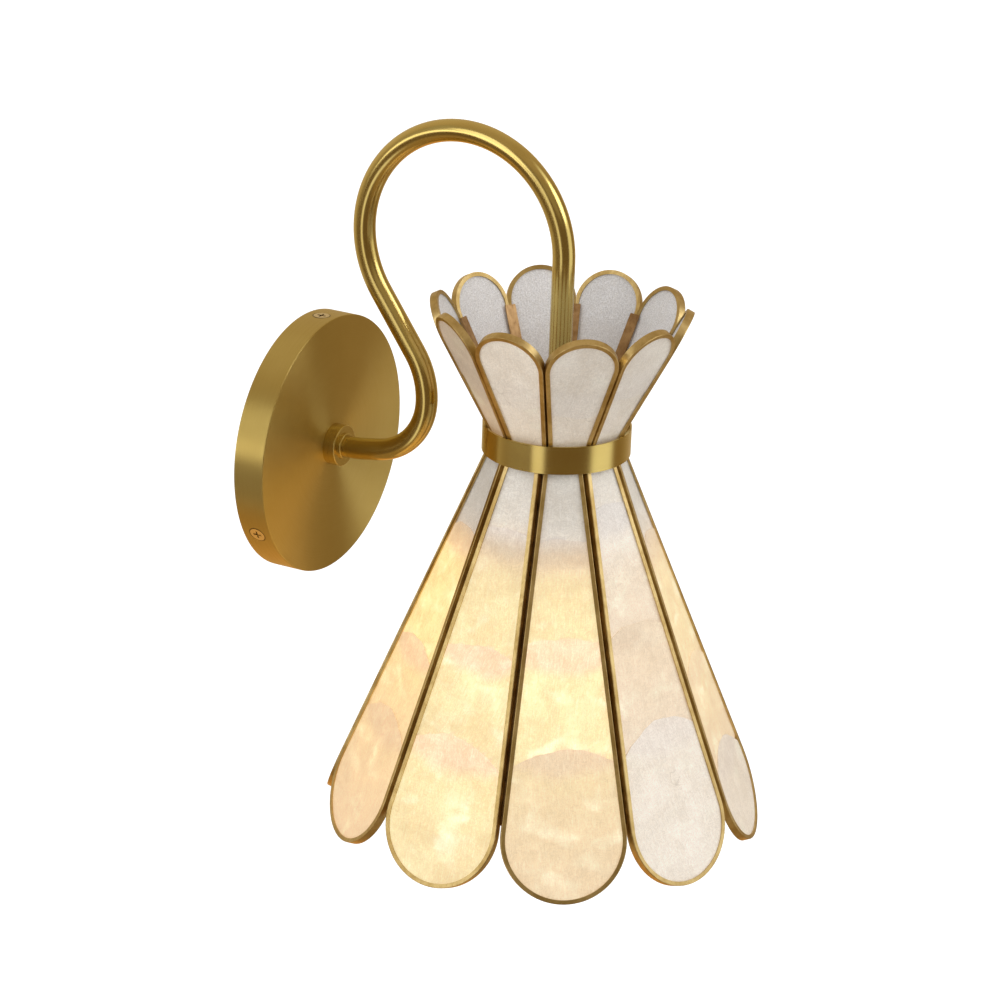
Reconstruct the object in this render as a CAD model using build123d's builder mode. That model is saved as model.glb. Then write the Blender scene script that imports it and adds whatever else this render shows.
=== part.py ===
from build123d import *
from math import asin, atan, cos, degrees, hypot, pi, radians, sin, sqrt, tan
import os

# Shell wall sconce, in millimetres.
# Frame: the origin is the centre of the backplate's back face. The wall is the plane Y = 0, the lamp
# stands out from it towards -Y, and +Z is up. The arm is bent in the plane X = 0.

# Driving dimensions: backplate and its screws
plate_diameter = 120.0
plate_depth = 15.0
plate_wall = 2.0
plate_edge_round = 0.5
rim_screw_count = 3
rim_screw_radius = 2.0
rim_head_radius = 3.7
rim_head_gap = 0.15
rim_screw_length = 7.0
cross_width = 0.9
cross_span = 4.2
cross_depth = 1.2

# Driving dimensions: wall plate behind the backplate
wall_plate_gap = 0.6
wall_plate_thickness = 1.5
tab_width = 12.0
tab_thickness = 3.0
tab_gap = 0.2
tab_end_gap = 1.0
slot_spacing = 60.0
slot_length = 12.0
slot_width = 4.6
cable_hole_radius = 9.0
earth_screw_x = -27.0
earth_screw_z = -26.0
earth_screw_radius = 2.0
earth_head_radius = 4.0
earth_head_height = 2.4
earth_head_round = 0.8
thread_gap = 0.02

# Driving dimensions: terminal block and lead wires
block_gap = 0.3
block_height = 16.0
block_front_gap = 0.5
block_drop = 18.0
block_round = 1.0
terminal_pitch = 9.0
terminal_screw_radius = 1.5
terminal_slot_width = 0.6
terminal_slot_depth = 0.5
terminal_sink = 1.0
supply_hole_radius = 1.7
supply_hole_depth = 6.0
wire_radius = 0.9
wire_spread = 1.3
wire_wall_distance = 3.7
wire_bend = 2.8
wire_crank_bend = 3.0
wire_crank_low = 3.0
wire_entry = 6.0
wire_gap = 0.05

# Driving dimensions: arm
tube_radius = 5.0
tube_wall = 1.0
tail_margin = 1.0
boss_radius = 9.5
boss_length = 6.0
boss_round = 0.4
ring_radius = 6.0
ring_length = 1.2
seat_gap = 0.03
washer_radius = 9.0
washer_thickness = 1.0
nut_across_flats = 14.0
nut_thickness = 3.5
outlet_margin = 0.3
rise_radius = 60.0
rise_angle = 9.5
rise_run = 7.5
sweep_up_radius = 28.5
lean_back_radius = 37.0
lean_angle = 35.5
lean_run = 31.2
loop_radius = 50.4
waist_drop = 79.8

# Driving dimensions: shade. Radii are measured to the middle of a petal's outer face
petal_count = 10
waist_radius = 27.4
crown_tip_radius = 58.0
crown_rise = 60.8
crown_azimuth = 20.5
skirt_tip_radius = 99.5
skirt_drop = 179.8
skirt_azimuth = 16.2
crown_gap = 1.2
skirt_gap = 2.5
joint_gap = 0.1
petal_foot = 1.2
frame_depth = 3.5
flange_width = 1.9
flange_thickness = 0.6
web_thickness = 0.7
frame_round = 0.3
shell_gap = 0.1
band_height = 12.5
band_thickness = 1.0
band_gap = 0.05
spider_thickness = 1.5
spider_margin = 3.0
vent_count = 6
vent_radius = 3.5
vent_circle = 14.5
ring_bore = 21.0
ring_height = 5.0
rib_width = 5.0
rib_thickness = 0.8
crown_rib_over = 2.0
skirt_rib_over = -1.5
rib_gap = 0.05

# Driving dimensions: lamp holder and lamp
holder_radius = 19.5
holder_top_radius = 13.0
holder_length = 50.0
holder_shoulder = 9.0
holder_round = 0.8
holder_floor = 22.0
holder_grip = 12.0
screw_shell_wall = 0.4
screw_shell_length = 24.0
tongue_length = 14.0
tongue_width = 5.0
tongue_thickness = 0.8
contact_gap = 0.3
cap_radius = 13.1
cap_length = 26.0
cap_shoulder = 6.0
cap_tip_radius = 4.8
cap_tip_length = 1.5
cap_running_gap = 0.08
neck_seat = 5.0
neck_wall = 0.5
neck_run = 3.0
neck_bend = 30.0
bulb_radius = 30.0
bulb_wall = 1.0

# Places worked out from the driving dimensions
plate_radius = plate_diameter / 2
block_depth = plate_depth - plate_wall - wall_plate_thickness - block_front_gap
tube_tail = plate_depth - plate_wall - washer_thickness - nut_thickness - tail_margin
outlet_run = plate_depth + boss_length + ring_length + outlet_margin
half_step = pi / petal_count
tube_bore = tube_radius - tube_wall

# The wall seen from the room: X to the right, Y up, and the normal pointing out of the wall
wall = Plane(origin=(0, 0, 0), x_dir=(1, 0, 0), z_dir=(0, -1, 0))
# The arm's own plane: X away from the wall, Y up
arm_plane = Plane(origin=(0, 0, 0), x_dir=(0, -1, 0), z_dir=(-1, 0, 0))

os.makedirs("parts", exist_ok=True)


def save(piece, name):
    """Label a finished piece and write it."""
    piece.part.label = name
    export_step(piece.part, f"parts/{name}.step")


def straight(line, length):
    """A straight run that carries on from the end of a line or an arc."""
    return Line(line @ 1, line @ 1 + (line % 1) * length)


def arm_bends(outlet):
    """The arm's bends, each tangent to the last, from the outlet to the end of the loop."""
    rise = JernArc(outlet @ 1, outlet % 1, rise_radius, rise_angle)
    slope = straight(rise, rise_run)
    sweep_up = JernArc(slope @ 1, slope % 1, sweep_up_radius, 90 - rise_angle)
    lean_back = JernArc(sweep_up @ 1, sweep_up % 1, lean_back_radius, lean_angle)
    lean = straight(lean_back, lean_run)
    return JernArc(lean @ 1, lean % 1, loop_radius, -180 - lean_angle)


# The end of the arm's loop places the shade
with BuildLine(arm_plane):
    loop_end = arm_bends(Line((tube_tail, 0), (outlet_run, 0))) @ 1
axis_y = loop_end.Y
waist_z = loop_end.Z - waist_drop
holder_z = waist_z - spider_thickness / 2
tube_end_z = holder_z - holder_grip


def level(height):
    """Level plane centred on the shade's axis."""
    return Plane((0, axis_y, height))


def rim_plane(angle, radius):
    """Plane across a rim screw at mid depth, at a radius, with its normal pointing outwards."""
    east = cos(radians(angle))
    up = sin(radians(angle))
    origin = (east * radius, -plate_depth / 2, up * radius)
    return Plane(origin=origin, x_dir=(0, -1, 0), z_dir=(east, 0, up))


rim_angles = [90 + k * 360 / rim_screw_count for k in range(rim_screw_count)]

# Backplate: round cup, open to the wall, with a hole for the arm and countersunk rim holes
with BuildPart() as backplate:
    with BuildSketch(wall):
        Circle(plate_radius)
        Circle(tube_radius + seat_gap, mode=Mode.SUBTRACT)
    extrude(amount=plate_depth)
    with BuildSketch(wall):
        Circle(plate_radius - plate_wall)
    extrude(amount=plate_depth - plate_wall, mode=Mode.SUBTRACT)
    front_face = backplate.faces().sort_by(Axis.Y)[0]
    fillet(front_face.outer_wire().edges(), radius=plate_edge_round)
    with Locations([rim_plane(angle, plate_radius) for angle in rim_angles]):
        CounterSinkHole(
            rim_screw_radius + rim_head_gap,
            rim_head_radius + rim_head_gap,
            depth=2 * plate_wall,
            counter_sink_angle=90,
        )
save(backplate, "backplate")

# Rim screws: flat cross-recess heads flush with the rim, driven into the wall plate's tabs
head_height = rim_head_radius - rim_screw_radius
with BuildPart() as rim_screws:
    for angle in rim_angles:
        head = rim_plane(angle, plate_radius)
        under = head.offset(-head_height)
        with BuildSketch(head):
            Circle(rim_head_radius)
        with BuildSketch(under):
            Circle(rim_screw_radius)
        loft()
        with BuildSketch(under):
            Circle(rim_screw_radius)
        extrude(amount=head_height - rim_screw_length)
        with BuildSketch(head):
            Rectangle(cross_span, cross_width)
            Rectangle(cross_width, cross_span)
        extrude(amount=-cross_depth, mode=Mode.SUBTRACT)
save(rim_screws, "rim_screws")

# Wall plate: disc with two slots, a cable hole, an earth hole and a tab behind each rim screw
tab_corner = plate_radius - plate_wall - tab_gap
tab_radius = sqrt(tab_corner**2 - (tab_width / 2) ** 2)
with BuildPart() as wall_plate:
    with BuildSketch(wall):
        Circle(plate_radius - plate_wall - wall_plate_gap)
        with Locations((-slot_spacing / 2, 0), (slot_spacing / 2, 0)):
            SlotOverall(slot_length, slot_width, mode=Mode.SUBTRACT)
        Circle(cable_hole_radius, mode=Mode.SUBTRACT)
        with Locations((earth_screw_x, earth_screw_z)):
            Circle(earth_screw_radius + thread_gap, mode=Mode.SUBTRACT)
    extrude(amount=wall_plate_thickness)
    with BuildSketch(wall):
        with PolarLocations(tab_radius, rim_screw_count, start_angle=rim_angles[0]):
            Rectangle(tab_thickness, tab_width, align=(Align.MAX, Align.CENTER))
    extrude(amount=plate_depth - plate_wall - tab_end_gap)
    for angle in rim_angles:
        with BuildSketch(rim_plane(angle, tab_radius)):
            Circle(rim_screw_radius + thread_gap)
        extrude(amount=-tab_thickness, mode=Mode.SUBTRACT)
save(wall_plate, "wall_plate")

# Earth screw: pan head on the room side of the wall plate
with BuildPart() as earth_screw:
    with BuildSketch(wall.offset(wall_plate_thickness)):
        with Locations((earth_screw_x, earth_screw_z)):
            Circle(earth_head_radius)
    extrude(amount=earth_head_height)
    fillet(earth_screw.faces().sort_by(Axis.Y)[0].edges(), radius=earth_head_round)
    with BuildSketch(wall):
        with Locations((earth_screw_x, earth_screw_z)):
            Circle(earth_screw_radius)
    extrude(amount=wall_plate_thickness)
    with BuildSketch(wall.offset(wall_plate_thickness + earth_head_height)):
        with Locations((earth_screw_x, earth_screw_z)):
            Rectangle(cross_span, cross_width)
            Rectangle(cross_width, cross_span)
    extrude(amount=-cross_depth, mode=Mode.SUBTRACT)
save(earth_screw, "earth_screw")

# Terminal block: two single ways side by side on the wall plate, with the lamp's wires in their upper faces
terminal_xs = (-terminal_pitch / 2, terminal_pitch / 2)
block_top = -block_drop
block_front = wall.offset(wall_plate_thickness + block_depth)
screw_z = block_top - wire_entry / 2
with BuildPart() as terminal_block:
    with BuildSketch(wall.offset(wall_plate_thickness)):
        with Locations([(x, block_top) for x in terminal_xs]):
            Rectangle(terminal_pitch - block_gap, block_height, align=(Align.CENTER, Align.MAX))
    extrude(amount=block_depth)
    fillet(terminal_block.edges().filter_by(Axis.Y), radius=block_round)
    with BuildSketch(Plane.XY.offset(block_top)):
        with Locations([(x, -wire_wall_distance) for x in terminal_xs]):
            Circle(wire_radius + wire_gap)
    extrude(amount=-wire_entry - wire_gap, mode=Mode.SUBTRACT)
    with BuildSketch(Plane.XY.offset(block_top - block_height)):
        with Locations([(x, -wire_wall_distance) for x in terminal_xs]):
            Circle(supply_hole_radius)
    extrude(amount=supply_hole_depth, mode=Mode.SUBTRACT)
    with BuildSketch(block_front):
        with Locations([(x, screw_z) for x in terminal_xs]):
            Circle(terminal_screw_radius + thread_gap)
    screw_reach = wall_plate_thickness + block_depth - wire_wall_distance - wire_radius - wire_gap
    extrude(amount=-screw_reach, mode=Mode.SUBTRACT)
save(terminal_block, "terminal_block")

# Terminal screws: slotted grub screws that press on the wires
with BuildPart() as terminal_screws:
    with BuildSketch(block_front.offset(-terminal_sink)):
        with Locations([(x, screw_z) for x in terminal_xs]):
            Circle(terminal_screw_radius)
    extrude(amount=terminal_sink - screw_reach)
    with BuildSketch(block_front.offset(-terminal_sink)):
        with Locations([(x, screw_z) for x in terminal_xs]):
            Rectangle(2 * terminal_screw_radius, terminal_slot_width)
    extrude(amount=-terminal_slot_depth, mode=Mode.SUBTRACT)
save(terminal_screws, "terminal_screws")

# Arm boss: turned collar on the backplate with a narrow ring round the tube
boss_plane = wall.offset(plate_depth)
with BuildPart() as arm_boss:
    with BuildSketch(boss_plane):
        Circle(boss_radius)
    extrude(amount=boss_length)
    fillet(arm_boss.faces().sort_by(Axis.Y)[0].edges(), radius=boss_round)
    with BuildSketch(boss_plane.offset(boss_length)):
        Circle(ring_radius)
    extrude(amount=ring_length)
    fillet(arm_boss.faces().sort_by(Axis.Y)[0].edges(), radius=boss_round)
    with BuildSketch(boss_plane):
        Circle(tube_radius + seat_gap)
    extrude(amount=boss_length + ring_length, mode=Mode.SUBTRACT)
save(arm_boss, "arm_boss")

# Arm tube: one tube from inside the backplate, round the bends and down into the lamp holder
with BuildPart() as arm_tube:
    with BuildLine(arm_plane) as arm_path:
        arm_outlet = Line((tube_tail, 0), (outlet_run, 0))
        arm_loop = arm_bends(arm_outlet)
        straight(arm_loop, loop_end.Z - tube_end_z)
    with BuildSketch(wall.offset(tube_tail)):
        Circle(tube_radius)
        Circle(tube_bore, mode=Mode.SUBTRACT)
    sweep(path=arm_path.line)
save(arm_tube, "arm_tube")

# Washer and lock nut on the tube's threaded end, inside the backplate
inside_front = wall.offset(plate_depth - plate_wall)
with BuildPart() as arm_washer:
    with BuildSketch(inside_front):
        Circle(washer_radius)
        Circle(tube_radius + seat_gap, mode=Mode.SUBTRACT)
    extrude(amount=-washer_thickness)
save(arm_washer, "arm_washer")

with BuildPart() as arm_lock_nut:
    with BuildSketch(inside_front.offset(-washer_thickness)):
        RegularPolygon(nut_across_flats / 2, 6, major_radius=False)
        Circle(tube_radius + seat_gap, mode=Mode.SUBTRACT)
    extrude(amount=-nut_thickness)
save(arm_lock_nut, "arm_lock_nut")


def lead_route(side):
    """One wire's path: out of its terminal, into the tube, along it and down to the holder's floor."""
    start = Vector(side * terminal_pitch / 2, -wire_wall_distance, block_top - wire_entry)
    crank_low = Vector(start.X, start.Y, block_top + wire_crank_low)
    crank_high = Vector(side * wire_spread, start.Y, -2 * wire_bend)
    corner = Vector(crank_high.X, start.Y, 0)
    with BuildLine(arm_plane.offset(-side * wire_spread)) as route:
        tail = FilletPolyline(
            start,
            crank_low,
            crank_high,
            corner,
            Vector(corner.X, -outlet_run, 0),
            radius=(wire_crank_bend, wire_crank_bend, wire_bend),
        )
        loop = arm_bends(tail)
        straight(loop, loop_end.Z - (holder_z - holder_floor))
    return route.line


# Lead wires: two insulated wires through the tube
with BuildPart() as lead_wires:
    for side in (-1, 1):
        path = lead_route(side)
        with BuildSketch(Plane(origin=path @ 0, z_dir=path % 0)):
            Circle(wire_radius)
        sweep(path=path)
save(lead_wires, "lead_wires")


class Petal:
    """The shape shared by a ring of petals, laid out along a petal from the waist to its tip."""

    def __init__(self, tip_radius, rise, azimuth, gap):
        run = tip_radius - waist_radius
        self.up = 1 if rise > 0 else -1
        self.length = hypot(run, rise)
        self.run = run / self.length
        self.rise = abs(rise) / self.length
        self.azimuth = azimuth
        self.half_waist = waist_radius * tan(half_step) - gap / 2
        self.side_slope = self.run * tan(half_step)
        self.side_angle = atan(self.side_slope)
        widest = self.half_waist + self.side_slope * self.length
        self.tip_round = widest * cos(self.side_angle) / (1 + sin(self.side_angle))
        self.tip_centre = self.length - self.tip_round
        self.straight_end = self.tip_centre - self.tip_round * sin(self.side_angle)

    def azimuths(self, offset=0.0):
        """Azimuth of each petal, or of each joint between petals with an offset of half a step."""
        return [self.azimuth + (k + offset) * 360 / petal_count for k in range(petal_count)]

    def half_width(self, along, inset=0.0):
        """Half the width between the straight sides, each moved in by inset."""
        return self.half_waist + self.side_slope * along - inset / cos(self.side_angle)

    def face_radius(self, height, depth=0.0):
        """Distance from the axis, at a height from the waist, to a face below the outer face."""
        return waist_radius + (height * self.run - depth) / self.rise

    def slant(self, azimuth, radius, height, run, rise):
        """Slanted plane at an azimuth: X leads away from the waist and the normal points outwards."""
        size = hypot(run, rise)
        east = sin(radians(azimuth))
        south = cos(radians(azimuth))
        return Plane(
            origin=(radius * east, axis_y - radius * south, waist_z + self.up * height),
            x_dir=(run / size * east, -run / size * south, self.up * rise / size),
            z_dir=(rise / size * east, -rise / size * south, -self.up * run / size),
        )

    def outer_plane(self, azimuth):
        """Plane of a petal's outer face, with its origin on the waist."""
        return self.slant(azimuth, waist_radius, 0, self.run, self.rise)

    def outline(self, inset):
        """Face inside a petal's outline: a square foot, straight sides and a round tip."""
        foot = petal_foot + inset
        foot_half = self.half_width(foot, inset)
        tip_round = self.tip_round - inset
        tangent = self.tip_centre - tip_round * sin(self.side_angle)
        tangent_half = tip_round * cos(self.side_angle)
        with BuildSketch() as face:
            with BuildLine():
                base = Line((foot, -foot_half), (foot, foot_half))
                side = Line(base @ 1, (tangent, tangent_half))
                top = (self.tip_centre + tip_round, 0)
                tip = ThreePointArc(side @ 1, top, (tangent, -tangent_half))
                Line(tip @ 1, base @ 0)
            make_face()
        return face.sketch


crown = Petal(crown_tip_radius, crown_rise, crown_azimuth, crown_gap)
skirt = Petal(skirt_tip_radius, -skirt_drop, skirt_azimuth, skirt_gap)


def joint_plane(azimuth, side):
    """Upright plane of the joint between two petals, moved half the gap to one petal's side."""
    across = Vector(cos(radians(azimuth)), sin(radians(azimuth)), 0)
    return Plane(origin=Vector(0, axis_y, waist_z) - across * side * joint_gap, z_dir=across)


def petal_frame(petal, azimuth):
    """Brass channel round one petal: a web along the edge with a flange on each face."""
    outer = petal.outer_plane(azimuth)
    with BuildPart() as frame:
        with BuildSketch(outer):
            add(petal.outline(0))
            add(petal.outline(web_thickness), mode=Mode.SUBTRACT)
        extrude(amount=-frame_depth)
        with BuildSketch(outer, outer.offset(flange_thickness - frame_depth)):
            add(petal.outline(0))
            add(petal.outline(flange_width), mode=Mode.SUBTRACT)
        extrude(amount=-flange_thickness)
        front = frame.faces().sort_by(Axis(outer.origin, outer.z_dir))[-1]
        fillet(front.outer_wire().edges(), radius=frame_round)
        for side, kept in ((-0.5, Keep.TOP), (0.5, Keep.BOTTOM)):
            split(bisect_by=joint_plane(azimuth + side * 360 / petal_count, side), keep=kept)
    return frame


def petal_shell(petal, azimuth):
    """Sheet of shell held between the flanges of one petal's channel."""
    sheet = petal.outer_plane(azimuth).offset(-flange_thickness - shell_gap)
    with BuildPart() as shell:
        with BuildSketch(sheet):
            add(petal.outline(web_thickness + shell_gap))
        extrude(amount=2 * (flange_thickness + shell_gap) - frame_depth)
    return shell


def armature(petal, rib_over):
    """Ten-sided ring inside the petals at the waist, with a strip behind each joint past its straight sides."""
    low = spider_thickness / 2
    rib_low = low + rib_thickness
    rib_high = (petal.straight_end + rib_over) * petal.rise
    rib_slope = petal.run / petal.rise / cos(half_step)
    rib_edge = petal.face_radius(rib_low, frame_depth) - rib_width / 2 * sin(half_step)
    rib_radius = rib_edge / cos(half_step) - rib_gap
    rib_length = (rib_high - rib_low) * hypot(1, rib_slope)
    corner = petal.azimuth - 90 + degrees(half_step)
    with BuildPart() as piece:
        for height in (low, low + ring_height):
            with BuildSketch(level(waist_z + petal.up * height)):
                apothem = petal.face_radius(height, frame_depth) - rib_gap
                RegularPolygon(apothem, petal_count, major_radius=False, rotation=corner)
        loft()
        with BuildSketch(level(waist_z + petal.up * low)):
            Circle(ring_bore)
        extrude(amount=petal.up * ring_height, mode=Mode.SUBTRACT)
        for azimuth in petal.azimuths(0.5):
            with BuildSketch(petal.slant(azimuth, rib_radius, rib_low, rib_slope, 1)):
                Rectangle(rib_length, rib_width, align=(Align.MIN, Align.CENTER))
            extrude(amount=-rib_thickness)
    return piece


for ring_name, petal, rib_over in (("crown", crown, crown_rib_over), ("skirt", skirt, skirt_rib_over)):
    for number, azimuth in enumerate(petal.azimuths(), start=1):
        save(petal_frame(petal, azimuth), f"{ring_name}_frame_{number:02d}")
        save(petal_shell(petal, azimuth), f"{ring_name}_shell_{number:02d}")
    save(armature(petal, rib_over), f"{ring_name}_armature")

# Collar band: hoop round the waist, seated on the corners of the petals' channels
band_half = band_height / 2
band_bore = band_gap + max(
    hypot(p.face_radius(band_half), p.half_width(band_half / p.rise)) for p in (crown, skirt)
)
with BuildPart() as collar_band:
    with BuildSketch(level(waist_z - band_half)):
        Circle(band_bore + band_thickness)
        Circle(band_bore, mode=Mode.SUBTRACT)
    extrude(amount=band_height)
save(collar_band, "collar_band")

# Spider plate: vented disc between the two armatures, carried by the tube's lower end
with BuildPart() as spider_plate:
    with BuildSketch(level(holder_z)):
        Circle(waist_radius - spider_margin)
        Circle(tube_radius + seat_gap, mode=Mode.SUBTRACT)
        with PolarLocations(vent_circle, vent_count):
            Circle(vent_radius, mode=Mode.SUBTRACT)
    extrude(amount=spider_thickness)
save(spider_plate, "spider_plate")

# Spider nut: hexagon nut on the tube, above the spider plate
with BuildPart() as spider_nut:
    with BuildSketch(level(holder_z + spider_thickness)):
        RegularPolygon(nut_across_flats / 2, 6, major_radius=False)
        Circle(tube_radius + seat_gap, mode=Mode.SUBTRACT)
    extrude(amount=nut_thickness)
save(spider_nut, "spider_nut")

# Lamp holder: screwed on the tube's end, with a socket below its floor
screw_shell_bore = cap_radius + cap_running_gap
socket_radius = screw_shell_bore + screw_shell_wall + seat_gap
with BuildPart() as lamp_holder:
    with BuildSketch(level(holder_z)):
        Circle(holder_top_radius)
    with BuildSketch(level(holder_z - holder_shoulder)):
        Circle(holder_radius)
    loft()
    with BuildSketch(level(holder_z - holder_shoulder)):
        Circle(holder_radius)
    extrude(amount=holder_shoulder - holder_length)
    fillet(lamp_holder.faces().sort_by(Axis.Z)[0].edges(), radius=holder_round)
    with BuildSketch(level(holder_z - holder_length)):
        Circle(socket_radius)
    extrude(amount=holder_length - holder_floor, mode=Mode.SUBTRACT)
    with BuildSketch(level(holder_z)):
        Circle(tube_radius + seat_gap)
    extrude(amount=-holder_grip, mode=Mode.SUBTRACT)
    with BuildSketch(level(holder_z - holder_floor)):
        with Locations((-wire_spread, 0), (wire_spread, 0)):
            Circle(wire_radius + wire_gap)
    extrude(amount=holder_floor - holder_grip, mode=Mode.SUBTRACT)
save(lamp_holder, "lamp_holder")

# Holder contacts: screw shell in the socket and centre tongue on its floor
floor_z = holder_z - holder_floor
with BuildPart() as holder_contacts:
    with BuildSketch(level(floor_z - tongue_thickness)):
        Circle(screw_shell_bore + screw_shell_wall)
        Circle(screw_shell_bore, mode=Mode.SUBTRACT)
    extrude(amount=-screw_shell_length)
    with BuildSketch(level(floor_z)):
        Rectangle(tongue_length, tongue_width)
    extrude(amount=-tongue_thickness)
save(holder_contacts, "holder_contacts")

# Bulb cap: screw cap with its insulated tip below the centre tongue
cap_top = floor_z - tongue_thickness - contact_gap
cap_rim = cap_top - cap_length
neck_radius = cap_radius - neck_wall
with BuildPart() as bulb_cap:
    with BuildSketch(level(cap_top)):
        Circle(cap_tip_radius)
    extrude(amount=-cap_tip_length)
    with BuildSketch(level(cap_top - cap_tip_length)):
        Circle(cap_tip_radius)
    with BuildSketch(level(cap_top - cap_shoulder)):
        Circle(cap_radius)
    loft()
    with BuildSketch(level(cap_top - cap_shoulder)):
        Circle(cap_radius)
    extrude(amount=cap_shoulder - cap_length)
    with BuildSketch(level(cap_rim)):
        Circle(neck_radius)
    extrude(amount=neck_seat, mode=Mode.SUBTRACT)
save(bulb_cap, "bulb_cap")

# Bulb glass: neck in the cap, flaring into a globe
bulb_plane = Plane(origin=(0, axis_y, cap_rim), x_dir=(1, 0, 0), z_dir=(0, -1, 0))
flare_span = neck_radius - seat_gap + neck_bend
flare_drop = sqrt((neck_bend + bulb_radius) ** 2 - flare_span**2)
flare_angle = degrees(asin(flare_drop / (neck_bend + bulb_radius)))
globe_low = neck_run + flare_drop + bulb_radius


def bulb_half(inset):
    """Face between the axis and the bulb's half outline, moved in by inset."""
    neck = neck_radius - seat_gap - inset
    with BuildSketch() as half:
        with BuildLine():
            tube = Line((neck, neck_seat), (neck, -neck_run))
            flare = JernArc(tube @ 1, tube % 1, neck_bend + inset, flare_angle)
            globe = ThreePointArc(
                flare @ 1,
                (bulb_radius - inset, bulb_radius - globe_low),
                (0, inset - globe_low),
            )
            Polyline(globe @ 1, (0, neck_seat), tube @ 0)
        make_face()
    return half.sketch


with BuildPart() as bulb_glass:
    with BuildSketch(bulb_plane):
        add(bulb_half(0))
        add(bulb_half(bulb_wall), mode=Mode.SUBTRACT)
    revolve(axis=Axis((0, axis_y, 0), (0, 0, 1)))
save(bulb_glass, "bulb_glass")
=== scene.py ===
"""Shell wall sconce: finishes, lapped shell sheets, lamp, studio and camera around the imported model.

Everything is in metres, in the model's own frame: the wall is the plane Y = 0, the lamp stands out
towards -Y, and +Z is up.
"""

import math
import random

import bpy
from mathutils import Matrix, Vector, noise


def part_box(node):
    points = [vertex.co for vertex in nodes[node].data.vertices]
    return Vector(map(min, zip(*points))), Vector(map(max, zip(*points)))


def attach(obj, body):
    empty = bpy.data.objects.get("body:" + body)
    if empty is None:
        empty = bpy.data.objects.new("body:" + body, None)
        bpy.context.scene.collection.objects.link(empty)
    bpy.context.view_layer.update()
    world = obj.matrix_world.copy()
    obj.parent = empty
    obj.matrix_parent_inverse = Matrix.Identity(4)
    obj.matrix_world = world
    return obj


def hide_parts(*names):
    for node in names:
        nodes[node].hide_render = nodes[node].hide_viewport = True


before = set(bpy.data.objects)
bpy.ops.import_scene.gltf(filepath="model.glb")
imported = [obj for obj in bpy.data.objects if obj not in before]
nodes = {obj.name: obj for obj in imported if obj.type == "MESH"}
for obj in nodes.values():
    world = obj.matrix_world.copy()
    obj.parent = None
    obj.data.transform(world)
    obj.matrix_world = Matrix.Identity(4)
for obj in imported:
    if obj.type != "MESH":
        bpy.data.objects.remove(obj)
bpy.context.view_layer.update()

# ---------------------------------------------------------------- sizes, the same as the model's
MM = 0.001
PETALS = 10
HALF_STEP = math.pi / PETALS
WAIST_RADIUS = 27.4 * MM
CHANNEL_DEPTH = 3.5 * MM
FLANGE_THICKNESS = 0.6 * MM
WEB = 0.7 * MM
SHEET_GAP = 0.1 * MM
PETAL_FOOT = 1.2 * MM
BAND_LOW, BAND_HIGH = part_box("collar_band")
BAND_CENTRE = (BAND_LOW + BAND_HIGH) / 2
AXIS = Vector((0.0, BAND_CENTRE.y, 0.0))
WAIST_Z = BAND_CENTRE.z
GLOBE_LOW, GLOBE_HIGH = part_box("bulb_glass")
GLOBE_RADIUS = (GLOBE_HIGH.x - GLOBE_LOW.x) / 2
GLOBE_CENTRE = Vector((0.0, BAND_CENTRE.y, GLOBE_LOW.z + GLOBE_RADIUS))
PLATE_LOW, PLATE_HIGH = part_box("backplate")
RIM_SCREWS = 3
RIM_HEAD_RADIUS = 3.7 * MM

# ---------------------------------------------------------------- sizes of the lapped shell pieces
PIECE_THICKNESS = 0.45 * MM
SHEET_INSET = WEB + SHEET_GAP            # from the petal's outline to the sheet's
SHEET_FOOT = PETAL_FOOT + SHEET_INSET    # where the sheet starts, from the waist
FLANGE_GAP = 1.5 * SHEET_GAP             # between a flange and the shell behind it
LAP_STEP = 0.5 * MM                      # how far a piece dips to pass under the next
LAP_LENGTH = 15.0 * MM                   # how far it reaches under the next
LAP_LENGTH_SPREAD = (0.85, 1.15)
LOWER_ARCH = 0.25                        # how far a lower edge's ends rise, in half widths
UPPER_WOBBLE, UPPER_WAVES = 1.2 * MM, 1.7
LOWER_WOBBLE, LOWER_WAVES = 2.5 * MM, 1.3
OVERLAP_FADE = 7.0 * MM                  # length over which the end of a hidden edge fades
COLUMNS = 26                             # faces across a piece
ROW_LENGTH = 1.7 * MM
FEWEST_ROWS = 8
SHARP_ANGLE = math.radians(40)
RANDOM_SEED = 11

# Lapped pieces below the first one on the skirt petals that face the camera: distance of the upper
# edge's middle from the waist in mm, then in half widths how far the edge's ends fall away and how
# far it leans
SKIRT_LAPS = {
    6: ((40, 0.25, 0.05), (96, 0.3, 0.1), (130, 0.42, 0.1)),
    7: ((34, 0.1, 0.0), (86, 0.24, 0.0), (128, 0.3, 0.14)),
    8: ((36, 0.15, 0.0), (79, 0.12, 0.0), (127, 0.28, -0.07)),
    9: ((23, 0.12, 0.0), (76, 0.22, -0.04), (120, 0.45, -0.15)),
    0: ((43, 0.3, 0.0), (104, 0.35, 0.0), (146, 0.5, 0.0)),
}
# How freely each piece of those petals lets the lamp's light through, from the waist down, which scales its
# painted glow
SKIRT_CLEARNESS = {
    6: (0.4, 1.0, 0.9, 0.92),
    7: (1.0, 0.95, 1.1, 1.35),
    8: (0.5, 0.95, 1.15, 1.0),
    9: (0.9, 0.42, 0.5, 0.26),
    0: (0.5, 0.82, 0.85, 0.4),
}
# How much stronger the painted glow of the crown's petals nearest the arm is drawn, standing in for the
# room's warm light through them, against the others
CROWN_CLEARNESS = {6: 1.7, 7: 1.5}
# How plainly the pieces that lie on each other show, on the crown and where the skirt shows them less
CROWN_OVERLAP = 0.3
SKIRT_OVERLAPS = {9: 0.7, 0: 0.6}
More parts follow.
